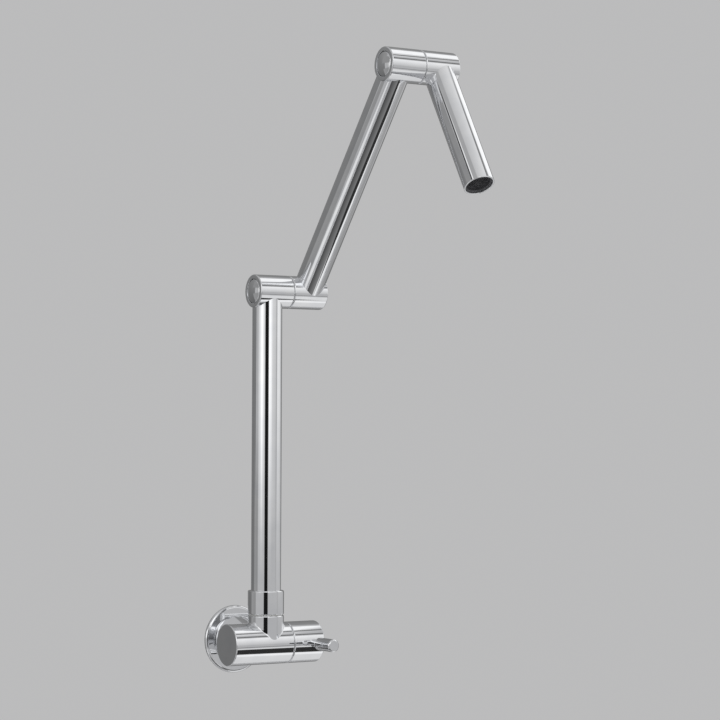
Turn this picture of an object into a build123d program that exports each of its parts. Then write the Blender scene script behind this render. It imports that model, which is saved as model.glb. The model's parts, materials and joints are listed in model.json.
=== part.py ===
from build123d import *

import os
from math import cos, radians, sin

os.makedirs("parts", exist_ok=True)

# A wall mounted pot filler. Sizes are in millimetres and angles in degrees.
# The origin is the centre of the flange on the wall's face. +X is to the right, +Y goes into
# the wall and +Z is up, so the tap reaches out towards -Y. The model stands with the valve open,
# the arm leaning out and the spout hanging forward.

# ---- Layout ----
wall_standoff = 47.5  # wall face to the riser's axis
barrel_setback = 1.5  # the barrel's axis is this much nearer to the wall than the riser's
elbow_height = 259.0  # barrel's axis to the elbow's axis
arm_length = 198.3  # elbow's axis to the wrist's axis
arm_lean = 38.5  # arm, away from upright
spout_length = 102.0  # wrist's axis to the spout's mouth
spout_lean = 31.0  # spout, away from hanging straight down

# ---- Fits ----
running_clearance = 0.05  # radial gap where a piece turns
fixed_clearance = 0.03  # gap that a thread, solder or glue fills
face_clearance = 0.05  # axial gap beside a piece that turns
o_ring_section = 1.5
o_ring_clearance = 0.02  # gap round a seal, on each side
groove_play = 0.3  # a seal's groove is this much wider than the seal

# ---- Tube ----
tube_radius = 11.0
tube_wall = 1.2

# ---- Flange and its seal ----
flange_radius = 25.2
flange_depth = 2.7
flange_wall = 1.0
flange_edge = 2.2  # radius of the rim's front edge
seal_play = 0.3

# ---- Inlet ----
inlet_thread_radius = 10.48  # half of the outside diameter of a G1/2 thread
inlet_thread_length = 14.0
inlet_thread_chamfer = 1.0
inlet_relief = 0.6  # the nipple's shoulder is this much slimmer than its thread
inlet_bore_radius = 5.4
inlet_key_flats = 12.0  # hex socket in the nipple's end
inlet_key_depth = 6.0
inlet_spigot_step = 1.6  # the nipple's spigot is this much slimmer than its shoulder
inlet_spigot_length = 11.5
washer_thickness = 0.8
neck_inset = 1.6  # neck's end, in front of the wall's face
strainer_thickness = 0.7
strainer_hole_radius = 0.6
strainer_pitch = 2.0
strainer_rows = 4

# ---- Barrel, boss and neck ----
barrel_radius = 15.25
barrel_left_length = 32.05  # riser's axis to the barrel's left end
barrel_edge = 0.7
barrel_wall = 6.25  # round the cartridge
boss_rise = 5.9  # boss above the barrel's top
boss_wall = 3.8
boss_floor = 2.5  # metal between the boss's bore and the cartridge's bore
neck_radius = 12.0
neck_foot_radius = 17.8  # where the neck widens, against the flange
neck_foot_rim = 2.2  # the foot's straight part
neck_foot_length = 15.0
port_radius = 3.4  # water ways drilled in the body
seat_offset = 0.1  # cartridge's seat, left of the riser's axis
seat_wall = 1.2
gallery_radius = 4.2
gallery_run = 1.0

# ---- Cartridge ----
seat_seal_thickness = 1.6
seat_seal_crush = 0.2  # the seal stands this much out of the housing
disc_thickness = 2.2
disc_clearance = 0.1
disc_port_radius = 1.45
disc_port_offset = 2.7
blade_thickness = 2.2
blade_inset = 0.6  # blade's end, inside the disc's rim
blade_depth = 1.0  # blade's depth in the moving disc
window_length = 3.8
window_width = 5.0
guide_length = 3.2  # cartridge's housing between its windows and its collar
relief_depth = 1.35
cartridge_wall = 1.1
foot_thickness = 1.4
collar_thickness = 1.2
collar_width = 2.5
cartridge_nut_thickness = 2.4
cartridge_nut_inset = 0.4
nut_pin_radius = 0.9
nut_pin_depth = 1.2
spindle_radius = 4.0
spindle_neck_wall = 3.95
spindle_neck_proud = 4.0  # cartridge's housing, out of the barrel's end
circlip_thickness = 0.8
circlip_width = 2.1
circlip_opening = 3.0
circlip_seat = 0.5
spline_step = 0.4
spline_length = 9.6

# ---- Hub and lever ----
hub_seam = 0.2
hub_length = 25.6
hub_wall = 3.0
hub_edge = 0.9
hub_cavity_play = 1.4
hub_screw_radius = 2.0
hub_screw_offset = 4.5
hub_screw_inset = 0.7
screw_key_share = 0.5  # a screw's hex socket, as a share of the screw's radius
screw_key_depth = 1.6
lever_radius = 4.65
lever_reach = 43.5  # barrel's axis to the lever's end
lever_inset = 9.6  # lever's axis from the hub's right end
lever_bevel = 0.9
lever_neck_radius = 2.8
lever_neck_length = 5.1
lever_flare_length = 3.0
lever_stud_radius = 2.5
lever_stud_length = 8.0

# ---- Swivel ----
collar_proud = 2.3  # collar's radius beyond the tube's
collar_wall = 3.25
collar_edge = 0.5
swivel_washer_thickness = 0.4
swivel_washer_inset = 0.7
spigot_wall = 3.0
spigot_plenum = 1.0
seal_zone = 6.2  # height for the two seals
screw_zone = 5.15  # height for the screw's groove
tube_seat_depth = 6.2
seal_inset = 2.2
seal_pitch = 2.7
spigot_gap = 0.35
collar_screw_radius = 1.5
collar_screw_inset = 0.4
screw_groove_depth = 1.2
screw_groove_play = 0.1

# ---- Knuckles ----
knuckle_proud = 1.25  # knuckle's radius beyond the tube's
outer_margin = 1.1  # knuckle's outer end beyond the tube's side
seam_margin = 5.7  # knuckle's seam beyond the tube's side
thrust_thickness = 0.3
thrust_inset = 1.2
seam_edge = 0.55
end_edge = 0.5
end_round = 0.8
end_wall = 3.5
knuckle_wall = 3.5
journal_wall = 5.25
waist_step = 1.2
end_journal_step = 1.15
pivot_wall = 2.0
pivot_thread_step = 0.4
pivot_head_step = 0.95
pivot_head_length = 7.5
pivot_floor = 0.8
pivot_hole_radius = 2.4
chamber_run = 1.0
end_bearing = 2.8
journal_seal_inset = 2.4
nut_thickness = 1.7
nut_play = 0.3
nut_recess_play = 0.4
cap_inset = 0.3  # from the knuckle's end face to the cap's rim
cap_thickness = 3.1  # at the rim
cap_crown = 2.1  # height of the cap's domed face
cap_rim = 3.75
cap_groove = 0.6
cap_land = 1.2
knuckle_port_radius = 3.8
outlet_port_radius = 5.5
tube_spigot_length = 7.0
tube_spigot_wall = 1.8

# ---- Aerator ----
aerator_inset = 1.6  # from the spout's mouth
aerator_length = 9.0
aerator_wall = 2.6
aerator_lip = 1.2
aerator_mouth_depth = 3.6
screen_thickness = 1.2
screen_hole_radius = 0.65
screen_pitch = 2.1
screen_rows = 5
gasket_thickness = 1.5
gasket_inset = 0.5

# ---- Worked out from the sizes above ----
tube_bore = tube_radius - tube_wall
tube_spigot_radius = tube_bore - fixed_clearance
groove_width = o_ring_section + groove_play

# Along the barrel, from left to right
seat_x = -seat_offset
inlet_port_x = seat_x - seat_wall - port_radius
fixed_disc_x = seat_x + seat_seal_thickness
moving_disc_x = fixed_disc_x + disc_thickness
window_x = moving_disc_x + disc_thickness
foot_x = window_x + window_length
cavity_end_x = foot_x + foot_thickness + face_clearance
collar_x = foot_x + guide_length
cartridge_nut_x = collar_x + collar_thickness + fixed_clearance
barrel_end_x = cartridge_nut_x + cartridge_nut_thickness + cartridge_nut_inset
neck_end_x = barrel_end_x + spindle_neck_proud
circlip_x = neck_end_x + face_clearance
circlip_end_x = circlip_x + circlip_thickness
hub_start_x = barrel_end_x + hub_seam
hub_cavity_x = circlip_end_x + hub_cavity_play
hub_end_x = hub_start_x + hub_length
spline_end_x = hub_cavity_x + spline_length
lever_x = hub_end_x - lever_inset
hub_screw_x = hub_cavity_x + hub_screw_offset
outlet_port_x = window_x

# Across the barrel
cartridge_bore = barrel_radius - barrel_wall
cartridge_radius = cartridge_bore - fixed_clearance
relief_radius = cartridge_radius - relief_depth
cavity_radius = relief_radius - cartridge_wall
disc_radius = cavity_radius - disc_clearance
nut_recess_bore = cartridge_bore + collar_width
spindle_bore = spindle_radius + running_clearance
spindle_neck_radius = spindle_bore + spindle_neck_wall
spline_radius = spindle_radius - spline_step

# Up the swivel
boss_radius = tube_radius + collar_proud
boss_bore = boss_radius - boss_wall
boss_bore_floor = cartridge_bore + boss_floor
boss_top = barrel_radius + boss_rise
collar_bottom = boss_top + swivel_washer_thickness
tube_bottom = collar_bottom + seal_zone + screw_zone
collar_top = tube_bottom + tube_seat_depth
collar_bore = boss_radius - collar_wall
spigot_radius = collar_bore - running_clearance
spigot_bore = boss_bore - spigot_wall
spigot_top = tube_bottom - spigot_gap
screw_z = collar_bottom + seal_zone + collar_screw_radius + screw_groove_play

# Along a knuckle, from its left end
knuckle_radius = tube_radius + knuckle_proud
cap_floor = cap_inset + cap_thickness
nut_floor = cap_floor + nut_thickness + nut_play
chamber_start = nut_floor + end_bearing
outer_length = max(tube_radius + outer_margin, chamber_start + knuckle_port_radius)
inner_length = tube_radius + seam_margin
seam_s = outer_length + inner_length
lower_face = seam_s - thrust_thickness / 2
upper_face = seam_s + thrust_thickness / 2
chamber_end = outer_length + knuckle_port_radius + chamber_run
upper_tube_s = seam_s + inner_length
knuckle_end = upper_tube_s + outer_length

# Across a knuckle
chamber_radius = knuckle_radius - knuckle_wall
journal_bore = knuckle_radius - journal_wall
pivot_radius = journal_bore - running_clearance
waist_radius = pivot_radius - waist_step
end_journal_radius = waist_radius - end_journal_step
end_journal_bore = end_journal_radius + running_clearance
pivot_thread_radius = end_journal_radius - pivot_thread_step
pivot_bore = waist_radius - pivot_wall
head_radius = pivot_radius + pivot_head_step
head_bore = head_radius + fixed_clearance
cap_radius = knuckle_radius - cap_rim
cap_recess_radius = cap_radius + cap_groove
nut_recess_radius = cap_radius - cap_land
nut_radius = nut_recess_radius - nut_recess_play

# Where the tubes run
arm_direction = Vector(0, -sin(radians(arm_lean)), cos(radians(arm_lean)))
spout_direction = Vector(0, -sin(radians(spout_lean)), -cos(radians(spout_lean)))
riser_foot = Vector(0, -wall_standoff, 0)
barrel_centre = riser_foot + Vector(0, barrel_setback, 0)
elbow_centre = riser_foot + Vector(0, 0, elbow_height)
arm_offset = Vector(2 * inner_length, 0, 0)
arm_start = elbow_centre + arm_offset
wrist_centre = arm_start + arm_direction * arm_length
spout_start = wrist_centre + arm_offset

# Planes whose X runs along a turned piece's axis, and whose Y is the radius
barrel_section = Plane(origin=barrel_centre, x_dir=(1, 0, 0), z_dir=(0, -1, 0))
barrel_axis = Axis(barrel_centre, (1, 0, 0))
swivel_section = Plane(origin=riser_foot, x_dir=(0, 0, 1), z_dir=(0, 1, 0))
swivel_axis = Axis(riser_foot, (0, 0, 1))
inlet_section = Plane(origin=(0, 0, 0), x_dir=(0, 1, 0), z_dir=(1, 0, 0))
inlet_axis = Axis((0, 0, 0), (0, 1, 0))

pieces = {}


def turned(plane, outline):
    """A solid turned about the plane's X axis, from an outline of (along, radius) points."""
    with BuildPart() as blank:
        with BuildSketch(plane):
            with BuildLine():
                Polyline(*outline, close=True)
            make_face()
        revolve(axis=Axis(plane.origin, plane.x_dir))
    return blank.part


def ring_outline(start, end, inner, outer):
    """The outline of a plain ring, for turned()."""
    return [(start, inner), (end, inner), (end, outer), (start, outer)]


def groove_outline(middle, bore):
    """The outline of a seal's groove under a bore, cut from just above the shaft's surface."""
    floor = bore - o_ring_section - 2 * o_ring_clearance
    return ring_outline(middle - groove_width / 2, middle + groove_width / 2, floor, bore)


def o_ring(plane, middle, bore):
    """A seal that lies in the groove which groove_outline() gives."""
    across = Plane(origin=plane.origin + plane.x_dir * middle, z_dir=plane.x_dir)
    minor = o_ring_section / 2
    with BuildPart() as seal:
        with Locations(across):
            Torus(bore - o_ring_clearance - minor, minor)
    return seal.part


def rod(start, direction, length, radius):
    """A plain cylinder from a start point along a direction."""
    with BuildPart() as bar:
        with BuildSketch(Plane(origin=start, z_dir=direction)):
            Circle(radius)
        extrude(amount=length)
    return bar.part


def across_barrel(x):
    """A plane square to the barrel, with its own X pointing up."""
    return Plane(origin=barrel_centre + Vector(x, 0, 0), x_dir=(0, 0, 1), z_dir=(1, 0, 0))


def grub_screw(start, direction, length, radius):
    """A headless screw with its hex socket at the far end."""
    with BuildPart() as screw:
        with BuildSketch(Plane(origin=start, z_dir=direction)):
            Circle(radius)
        extrude(amount=length)
        with BuildSketch(Plane(origin=start + direction * length, z_dir=direction)):
            RegularPolygon(radius * screw_key_share, 6)
        extrude(amount=-screw_key_depth, mode=Mode.SUBTRACT)
    return screw.part


# ---- Valve: flange and inlet ----

with BuildPart() as wall_flange:
    with BuildSketch(Plane.XZ):
        Circle(flange_radius)
    extrude(amount=flange_depth)
    fillet(wall_flange.edges().group_by(Axis.Y)[0], flange_edge)
    with BuildSketch(Plane.XZ):
        Circle(flange_radius - flange_wall)
    extrude(amount=flange_depth - flange_wall, mode=Mode.SUBTRACT)
    with BuildSketch(Plane.XZ):
        Circle(neck_radius + running_clearance)
    extrude(amount=flange_depth, mode=Mode.SUBTRACT)
pieces["wall_flange"] = wall_flange

with BuildPart() as flange_seal:
    with BuildSketch(Plane.XZ):
        Circle(flange_radius - flange_wall - seal_play)
        Circle(neck_radius + seal_play, mode=Mode.SUBTRACT)
    extrude(amount=flange_depth - flange_wall - face_clearance)
pieces["flange_seal"] = flange_seal

nipple_shoulder_y = washer_thickness - neck_inset
nipple_shoulder_radius = inlet_thread_radius - inlet_relief
nipple_spigot_radius = nipple_shoulder_radius - inlet_spigot_step
neck_bore = nipple_spigot_radius + fixed_clearance
nipple_front_y = nipple_shoulder_y - inlet_spigot_length
neck_floor_y = nipple_front_y - strainer_thickness - fixed_clearance

with BuildPart() as inlet_nipple:
    with BuildSketch(inlet_section):
        with BuildLine():
            Polyline(
                (nipple_front_y, inlet_bore_radius),
                (nipple_front_y, nipple_spigot_radius),
                (nipple_shoulder_y, nipple_spigot_radius),
                (nipple_shoulder_y, nipple_shoulder_radius),
                (0, nipple_shoulder_radius),
                (0, inlet_thread_radius),
                (inlet_thread_length - inlet_thread_chamfer, inlet_thread_radius),
                (inlet_thread_length, inlet_thread_radius - inlet_thread_chamfer),
                (inlet_thread_length, inlet_bore_radius),
                close=True,
            )
        make_face()
    revolve(axis=inlet_axis)
    with BuildSketch(Plane(origin=(0, inlet_thread_length, 0), z_dir=(0, -1, 0))):
        RegularPolygon(inlet_key_flats / 2, 6, major_radius=False)
    extrude(amount=inlet_key_depth, mode=Mode.SUBTRACT)
pieces["inlet_nipple"] = inlet_nipple

with BuildPart() as inlet_seal:
    add(
        turned(
            inlet_section,
            ring_outline(
                -neck_inset,
                nipple_shoulder_y,
                nipple_spigot_radius + fixed_clearance,
                nipple_shoulder_radius,
            ),
        )
    )
pieces["inlet_seal"] = inlet_seal

with BuildPart() as inlet_strainer:
    with BuildSketch(Plane(origin=(0, nipple_front_y, 0), z_dir=(0, -1, 0))):
        Circle(nipple_spigot_radius)
        with GridLocations(strainer_pitch, strainer_pitch, strainer_rows, strainer_rows):
            Circle(strainer_hole_radius, mode=Mode.SUBTRACT)
    extrude(amount=strainer_thickness)
pieces["inlet_strainer"] = inlet_strainer

# ---- Valve: body ----

neck_foot_y = -flange_depth - face_clearance

with BuildPart() as valve_body:
    add(
        turned(
            barrel_section,
            [
                (-barrel_left_length, 0),
                (-barrel_left_length, barrel_radius - barrel_edge),
                (barrel_edge - barrel_left_length, barrel_radius),
                (barrel_end_x - seam_edge, barrel_radius),
                (barrel_end_x, barrel_radius - seam_edge),
                (barrel_end_x, 0),
            ],
        )
    )
    # the boss under the riser
    add(
        turned(
            swivel_section,
            [
                (0, 0),
                (0, boss_radius),
                (boss_top - seam_edge, boss_radius),
                (boss_top, boss_radius - seam_edge),
                (boss_top, 0),
            ],
        )
    )
    # the neck to the wall, and its foot in front of the flange
    add(rod(barrel_centre, Vector(0, 1, 0), -neck_inset - barrel_centre.Y, neck_radius))
    add(
        turned(
            inlet_section,
            [
                (neck_foot_y, 0),
                (neck_foot_y, neck_foot_radius),
                (neck_foot_y - neck_foot_rim, neck_foot_radius),
                (neck_foot_y - neck_foot_length, neck_radius),
                (neck_foot_y - neck_foot_length, 0),
            ],
        )
    )
    # the cartridge's bore, its nut's recess and the inlet gallery behind the seat
    add(
        turned(
            barrel_section,
            [
                (inlet_port_x - port_radius - gallery_run, 0),
                (inlet_port_x - port_radius - gallery_run, gallery_radius),
                (seat_x, gallery_radius),
                (seat_x, cartridge_bore),
                (collar_x, cartridge_bore),
                (collar_x, nut_recess_bore),
                (barrel_end_x, nut_recess_bore),
                (barrel_end_x, 0),
            ],
        ),
        mode=Mode.SUBTRACT,
    )
    # the boss's bore, and the outlet port that feeds it
    add(
        rod(
            riser_foot + Vector(0, 0, boss_bore_floor),
            Vector(0, 0, 1),
            boss_top - boss_bore_floor,
            boss_bore,
        ),
        mode=Mode.SUBTRACT,
    )
    add(
        rod(riser_foot + Vector(outlet_port_x, 0, 0), Vector(0, 0, 1), boss_bore_floor, port_radius),
        mode=Mode.SUBTRACT,
    )
    # the neck's bore, and the inlet port that leads to the gallery
    add(rod(Vector(0, neck_floor_y, 0), Vector(0, 1, 0), -neck_floor_y, neck_bore), mode=Mode.SUBTRACT)
    add(
        rod(
            barrel_centre + Vector(inlet_port_x, 0, 0),
            Vector(0, 1, 0),
            neck_floor_y - barrel_centre.Y,
            port_radius,
        ),
        mode=Mode.SUBTRACT,
    )
pieces["valve_body"] = valve_body

# ---- Valve: cartridge ----

cartridge_seal_x = (foot_x + collar_x) / 2 + groove_play

with BuildPart() as cartridge_housing:
    with BuildSketch(barrel_section):
        with BuildLine():
            Polyline(
                (seat_x + seat_seal_crush, cavity_radius),
                (seat_x + seat_seal_crush, relief_radius),
                (foot_x, relief_radius),
                (foot_x, cartridge_radius),
                (collar_x, cartridge_radius),
                (collar_x, nut_recess_bore - fixed_clearance),
                (collar_x + collar_thickness, nut_recess_bore - fixed_clearance),
                (collar_x + collar_thickness, spindle_neck_radius),
                (neck_end_x, spindle_neck_radius),
                (neck_end_x, spindle_bore),
                (cavity_end_x, spindle_bore),
                (cavity_end_x, cavity_radius),
                close=True,
            )
        make_face()
    revolve(axis=barrel_axis)
    # side windows for the water, above and below and at the front and back
    with Locations(across_barrel(window_x)):
        Box(
            2 * cartridge_radius,
            window_width,
            window_length,
            align=(Align.CENTER, Align.CENTER, Align.MIN),
            mode=Mode.SUBTRACT,
        )
        Box(
            window_width,
            2 * cartridge_radius,
            window_length,
            align=(Align.CENTER, Align.CENTER, Align.MIN),
            mode=Mode.SUBTRACT,
        )
    add(
        turned(barrel_section, groove_outline(cartridge_seal_x, cartridge_bore)),
        mode=Mode.SUBTRACT,
    )
pieces["cartridge_housing"] = cartridge_housing

with BuildPart() as cartridge_o_ring:
    add(o_ring(barrel_section, cartridge_seal_x, cartridge_bore))
pieces["cartridge_o_ring"] = cartridge_o_ring

with BuildPart() as cartridge_nut:
    add(
        turned(
            barrel_section,
            ring_outline(
                cartridge_nut_x,
                cartridge_nut_x + cartridge_nut_thickness,
                spindle_neck_radius + fixed_clearance,
                nut_recess_bore - fixed_clearance,
            ),
        )
    )
    # holes for a pin wrench
    with BuildSketch(across_barrel(cartridge_nut_x + cartridge_nut_thickness)):
        with PolarLocations((spindle_neck_radius + nut_recess_bore) / 2, 4):
            Circle(nut_pin_radius)
    extrude(amount=-nut_pin_depth, mode=Mode.SUBTRACT)
pieces["cartridge_nut"] = cartridge_nut

with BuildPart() as cartridge_seat_seal:
    add(turned(barrel_section, ring_outline(seat_x, fixed_disc_x, gallery_radius, disc_radius)))
pieces["cartridge_seat_seal"] = cartridge_seat_seal

with BuildPart() as fixed_ceramic_disc:
    with BuildSketch(across_barrel(fixed_disc_x)):
        Circle(disc_radius)
        with PolarLocations(disc_port_offset, 2):
            Circle(disc_port_radius, mode=Mode.SUBTRACT)
    extrude(amount=disc_thickness)
pieces["fixed_ceramic_disc"] = fixed_ceramic_disc

# ---- Valve: swivel post ----

seal_zs = [collar_bottom + seal_inset, collar_bottom + seal_inset + seal_pitch]

with BuildPart() as swivel_spigot:
    with BuildSketch(swivel_section):
        with BuildLine():
            Polyline(
                (boss_bore_floor + spigot_plenum, spigot_bore),
                (boss_bore_floor + spigot_plenum, boss_bore - fixed_clearance),
                (boss_top, boss_bore - fixed_clearance),
                (boss_top, spigot_radius),
                (spigot_top - seam_edge, spigot_radius),
                (spigot_top, spigot_radius - seam_edge),
                (spigot_top, spigot_bore),
                close=True,
            )
        make_face()
    revolve(axis=swivel_axis)
    for seal_z in seal_zs:
        add(turned(swivel_section, groove_outline(seal_z, collar_bore)), mode=Mode.SUBTRACT)
    # the groove that the collar's screw runs in
    add(
        turned(
            swivel_section,
            ring_outline(
                screw_z - collar_screw_radius - screw_groove_play,
                screw_z + collar_screw_radius + screw_groove_play,
                spigot_radius - screw_groove_depth,
                collar_bore,
            ),
        ),
        mode=Mode.SUBTRACT,
    )
pieces["swivel_spigot"] = swivel_spigot

with BuildPart() as swivel_o_rings:
    for seal_z in seal_zs:
        add(o_ring(swivel_section, seal_z, collar_bore))
pieces["swivel_o_rings"] = swivel_o_rings

with BuildPart() as swivel_washer:
    add(
        turned(
            swivel_section,
            ring_outline(
                boss_top,
                collar_bottom,
                spigot_radius + running_clearance,
                boss_radius - swivel_washer_inset,
            ),
        )
    )
pieces["swivel_washer"] = swivel_washer

# ---- Handle ----

with BuildPart() as handle_hub:
    with BuildSketch(barrel_section):
        with BuildLine():
            Polyline(
                (hub_start_x, barrel_radius - hub_wall),
                (hub_start_x, barrel_radius - seam_edge),
                (hub_start_x + seam_edge, barrel_radius),
                (hub_end_x - hub_edge, barrel_radius),
                (hub_end_x, barrel_radius - hub_edge),
                (hub_end_x, 0),
                (spline_end_x + face_clearance, 0),
                (spline_end_x + face_clearance, spline_radius + fixed_clearance),
                (hub_cavity_x, spline_radius + fixed_clearance),
                (hub_cavity_x, barrel_radius - hub_wall),
                close=True,
            )
        make_face()
    revolve(axis=barrel_axis)
    # the lever's threaded hole, at the front, and the screw's hole, underneath
    add(
        rod(
            barrel_centre + Vector(lever_x, -barrel_radius, 0),
            Vector(0, 1, 0),
            lever_stud_length + face_clearance,
            lever_stud_radius + fixed_clearance,
        ),
        mode=Mode.SUBTRACT,
    )
    add(
        rod(
            barrel_centre + Vector(hub_screw_x, 0, 0),
            Vector(0, 0, -1),
            barrel_radius,
            hub_screw_radius + fixed_clearance,
        ),
        mode=Mode.SUBTRACT,
    )
pieces["handle_hub"] = handle_hub

lever_section = Plane(
    origin=barrel_centre + Vector(lever_x, 0, 0), x_dir=(0, -1, 0), z_dir=(-1, 0, 0)
)
lever_neck_end = barrel_radius + lever_neck_length

with BuildPart() as lever_pin:
    add(
        turned(
            lever_section,
            [
                (barrel_radius - lever_stud_length, 0),
                (barrel_radius - lever_stud_length, lever_stud_radius),
                (barrel_radius, lever_stud_radius),
                (barrel_radius, lever_neck_radius),
                (lever_neck_end, lever_neck_radius),
                (lever_neck_end + lever_flare_length, lever_radius),
                (lever_reach - lever_bevel, lever_radius),
                (lever_reach, lever_radius - lever_bevel),
                (lever_reach, 0),
            ],
        )
    )
pieces["lever_pin"] = lever_pin

hub_screw_start = spline_radius + fixed_clearance
with BuildPart() as hub_grub_screw:
    add(
        grub_screw(
            barrel_centre + Vector(hub_screw_x, 0, -hub_screw_start),
            Vector(0, 0, -1),
            barrel_radius - hub_screw_inset - hub_screw_start,
            hub_screw_radius,
        )
    )
pieces["hub_grub_screw"] = hub_grub_screw

spindle_seal_x = (collar_x + neck_end_x) / 2
circlip_seat_radius = spindle_radius - circlip_seat

with BuildPart() as cartridge_spindle:
    with BuildSketch(barrel_section):
        with BuildLine():
            Polyline(
                (foot_x, 0),
                (foot_x, disc_radius),
                (foot_x + foot_thickness, disc_radius),
                (foot_x + foot_thickness, spindle_radius),
                (circlip_x - fixed_clearance, spindle_radius),
                (circlip_x - fixed_clearance, circlip_seat_radius),
                (circlip_end_x + fixed_clearance, circlip_seat_radius),
                (circlip_end_x + fixed_clearance, spline_radius),
                (spline_end_x, spline_radius),
                (spline_end_x, 0),
                close=True,
            )
        make_face()
    revolve(axis=barrel_axis)
    # the blade that turns the moving disc
    with BuildSketch(across_barrel(foot_x)):
        Rectangle(blade_thickness, 2 * (disc_radius - blade_inset))
    extrude(amount=window_x - blade_depth - foot_x)
    add(turned(barrel_section, groove_outline(spindle_seal_x, spindle_bore)), mode=Mode.SUBTRACT)
pieces["cartridge_spindle"] = cartridge_spindle

with BuildPart() as spindle_o_ring:
    add(o_ring(barrel_section, spindle_seal_x, spindle_bore))
pieces["spindle_o_ring"] = spindle_o_ring

with BuildPart() as moving_ceramic_disc:
    with BuildSketch(across_barrel(moving_disc_x)):
        Circle(disc_radius)
        with PolarLocations(disc_port_offset, 2):
            Circle(disc_port_radius, mode=Mode.SUBTRACT)
    extrude(amount=disc_thickness)
    with BuildSketch(across_barrel(window_x)):
        Rectangle(blade_thickness + 2 * fixed_clearance, 2 * disc_radius)
    extrude(amount=-blade_depth - fixed_clearance, mode=Mode.SUBTRACT)
pieces["moving_ceramic_disc"] = moving_ceramic_disc

with BuildPart() as spindle_circlip:
    with BuildSketch(across_barrel(circlip_x)):
        Circle(circlip_seat_radius + fixed_clearance + circlip_width)
        Circle(circlip_seat_radius + fixed_clearance, mode=Mode.SUBTRACT)
        with Locations((circlip_seat_radius + circlip_width, 0)):
            Rectangle(2 * circlip_width, circlip_opening, mode=Mode.SUBTRACT)
    extrude(amount=circlip_thickness)
pieces["spindle_circlip"] = spindle_circlip

# ---- Riser ----

with BuildPart() as swivel_collar:
    with BuildSketch(swivel_section):
        with BuildLine():
            Polyline(
                (collar_bottom, collar_bore),
                (collar_bottom, boss_radius - collar_edge),
                (collar_bottom + collar_edge, boss_radius),
                (collar_top - collar_edge, boss_radius),
                (collar_top, boss_radius - collar_edge),
                (collar_top, tube_radius + fixed_clearance),
                (tube_bottom, tube_radius + fixed_clearance),
                (tube_bottom, collar_bore),
                close=True,
            )
        make_face()
    revolve(axis=swivel_axis)
    # the screw's hole, at the back
    add(
        rod(
            riser_foot + Vector(0, 0, screw_z),
            Vector(0, 1, 0),
            boss_radius,
            collar_screw_radius + fixed_clearance,
        ),
        mode=Mode.SUBTRACT,
    )
pieces["swivel_collar"] = swivel_collar

collar_screw_start = spigot_radius - screw_groove_depth + screw_groove_play
with BuildPart() as collar_grub_screw:
    add(
        grub_screw(
            riser_foot + Vector(0, collar_screw_start, screw_z),
            Vector(0, 1, 0),
            boss_radius - collar_screw_inset - collar_screw_start,
            collar_screw_radius,
        )
    )
pieces["collar_grub_screw"] = collar_grub_screw


def coped_tube(start, direction, first, last, copes):
    """A tube along a direction, cut to fit round the knuckles whose centres are in copes."""
    with BuildPart() as tube:
        with BuildSketch(Plane(origin=start + direction * first, z_dir=direction)):
            Circle(tube_radius)
            Circle(tube_bore, mode=Mode.SUBTRACT)
        extrude(amount=last - first)
        for centre in copes:
            with Locations(Plane(origin=centre, z_dir=(1, 0, 0))):
                Cylinder(knuckle_radius + fixed_clearance, 4 * tube_radius, mode=Mode.SUBTRACT)
    return tube


pieces["riser_tube"] = coped_tube(
    riser_foot, Vector(0, 0, 1), tube_bottom, elbow_height, [elbow_centre]
)
pieces["arm_tube"] = coped_tube(arm_start, arm_direction, 0, arm_length, [arm_start, wrist_centre])
pieces["spout_tube"] = coped_tube(spout_start, spout_direction, 0, spout_length, [spout_start])


# ---- Knuckles ----


def knuckle_housing(section, tube_s, direction, outside, bores, port):
    """One half of a knuckle: a turned shell with a hollow stub that its tube is soldered over."""
    tube_centre = section.origin + section.x_dir * tube_s
    stub_bore = tube_spigot_radius - tube_spigot_wall
    with BuildPart() as housing:
        add(turned(section, outside))
        add(rod(tube_centre, direction, knuckle_radius + tube_spigot_length, tube_spigot_radius))
        add(turned(section, bores), mode=Mode.SUBTRACT)
        add(rod(tube_centre, direction, knuckle_radius, port), mode=Mode.SUBTRACT)
        add(
            rod(tube_centre + direction * knuckle_radius, direction, tube_spigot_length, stub_bore),
            mode=Mode.SUBTRACT,
        )
    return housing


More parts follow.
